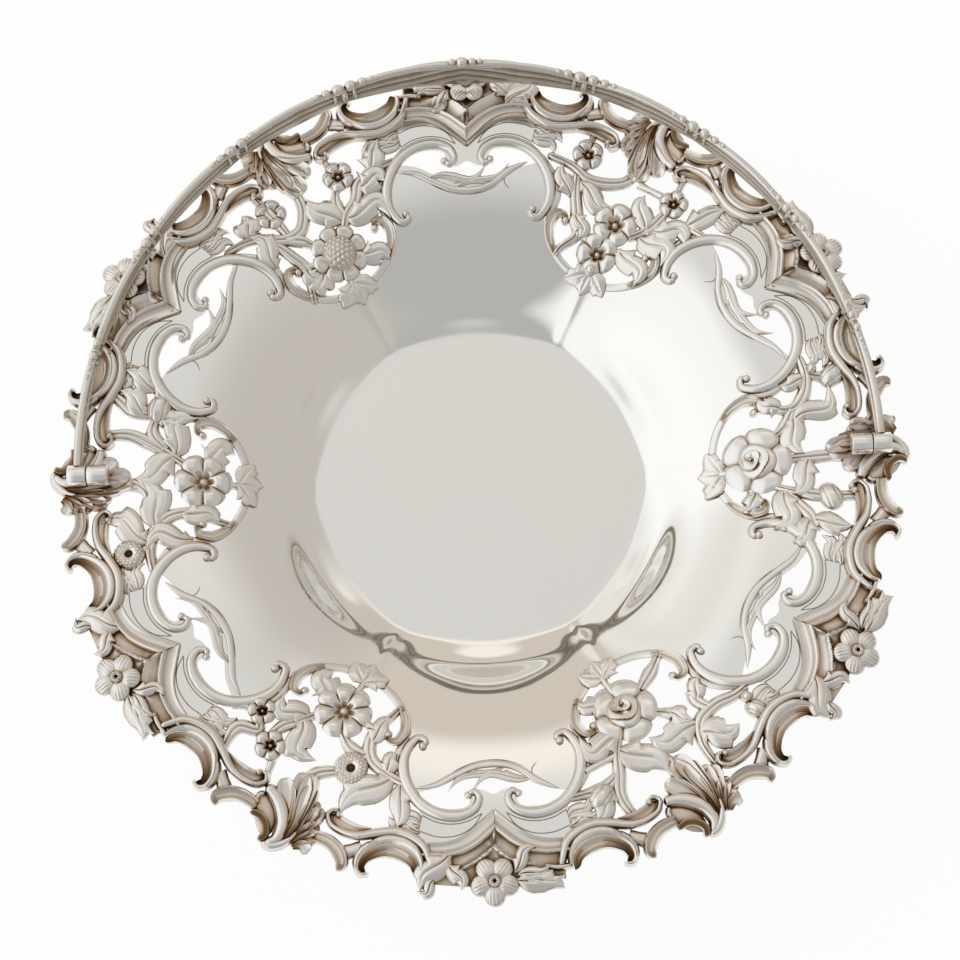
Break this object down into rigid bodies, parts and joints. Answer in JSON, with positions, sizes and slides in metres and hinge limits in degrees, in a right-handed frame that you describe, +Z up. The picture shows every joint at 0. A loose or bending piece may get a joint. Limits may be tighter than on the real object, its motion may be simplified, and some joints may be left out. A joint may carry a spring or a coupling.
{
  "type": "cake basket",
  "caption": "Round lobed silver basket for cakes, with pierced floral panels, a scrolled cast rim, a spreading foot and a swing handle.",
  "frame": {"origin": "on the table, under the middle of the foot", "axes": "+Z up; X along the hinge axis; +Y towards the side on which the handle lies folded"},
  "size_m": [0.3266, 0.3284, 0.0878],
  "materials": {
    "raised_silver": "polished sheet",
    "chased_silver": "pierced and chased, polished with darkened recesses",
    "cast_silver": "cast and chased, polished with darkened recesses",
    "handle_silver": "cast and chased, polished with darkened recesses",
    "barrel_silver": "polished",
    "pin_silver": "drawn wire"
  },
  "bodies": {
    "basket": {"bowl": "raised_silver", "floral_panel_1": "chased_silver", "floral_panel_2": "chased_silver", "floral_panel_3": "chased_silver", "floral_panel_4": "chased_silver", "floral_panel_5": "chased_silver", "floral_panel_6": "chased_silver", "rim_section_1": "cast_silver", "rim_section_2": "cast_silver", "rim_section_3": "cast_silver", "rim_section_4": "cast_silver", "rim_section_5": "cast_silver", "rim_section_6": "cast_silver", "rim_shell_1": "cast_silver", "rim_shell_2": "cast_silver", "rim_shell_3": "cast_silver", "rim_shell_4": "cast_silver", "rim_shell_5": "cast_silver", "rim_shell_6": "cast_silver", "rim_flower_1": "cast_silver", "rim_flower_2": "cast_silver", "rim_flower_3": "cast_silver", "rim_flower_4": "cast_silver", "rim_flower_5": "cast_silver", "rim_flower_6": "cast_silver", "hinge_lug_right": "barrel_silver", "hinge_lug_left": "barrel_silver", "hinge_pin_right": "pin_silver", "hinge_pin_left": "pin_silver", "foot_skirt": "raised_silver", "foot_border": "cast_silver"},
    "handle": {"handle_knuckle_right": "barrel_silver", "handle_knuckle_left": "barrel_silver", "bail_arm_right": "handle_silver", "bail_arm_left": "handle_silver", "bail_crown": "handle_silver"}
  },
  "joints": [
    {"name": "handle_swing", "type": "hinge", "parent": "basket", "child": "handle", "pos_m": [0, 0, 0.05987], "axis": [1, 0, 0], "range_deg": [0, 166.9]}
  ]
}
